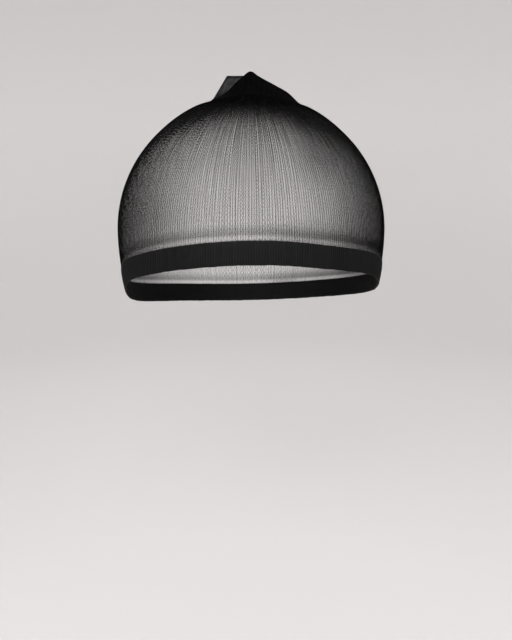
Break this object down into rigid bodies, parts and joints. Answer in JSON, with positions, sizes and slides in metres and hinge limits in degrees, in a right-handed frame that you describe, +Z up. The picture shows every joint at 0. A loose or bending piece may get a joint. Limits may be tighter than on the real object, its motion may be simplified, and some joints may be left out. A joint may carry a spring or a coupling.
{
  "type": "wig cap",
  "caption": "Stretchy sheer stocking cap worn under a wig: knitted dome crown, dense doubled band around the open edge, closed end gathered into a small upright tuft of cloth.",
  "frame": {"origin": "inside the top of the crown, where the cap rests on the top of the head", "axes": "+Z up through the top of the head, the wearer faces -Y, +X towards the wearer's left ear"},
  "size_m": [0.1549, 0.1904, 0.1479],
  "materials": {
    "sheer_knit": "sheer black nylon knit with fine upright wales",
    "band_knit": "dense doubled black knit with fine upright ribs",
    "gathered_knit": "many gathered layers of black knit, soft and matt",
    "flap_knit": "one folded layer of sheer black knit"
  },
  "bodies": {
    "root": {"crown": "sheer_knit", "band": "band_knit", "tuft": "gathered_knit", "tuft_flap": "flap_knit"}
  },
  "joints": []
}
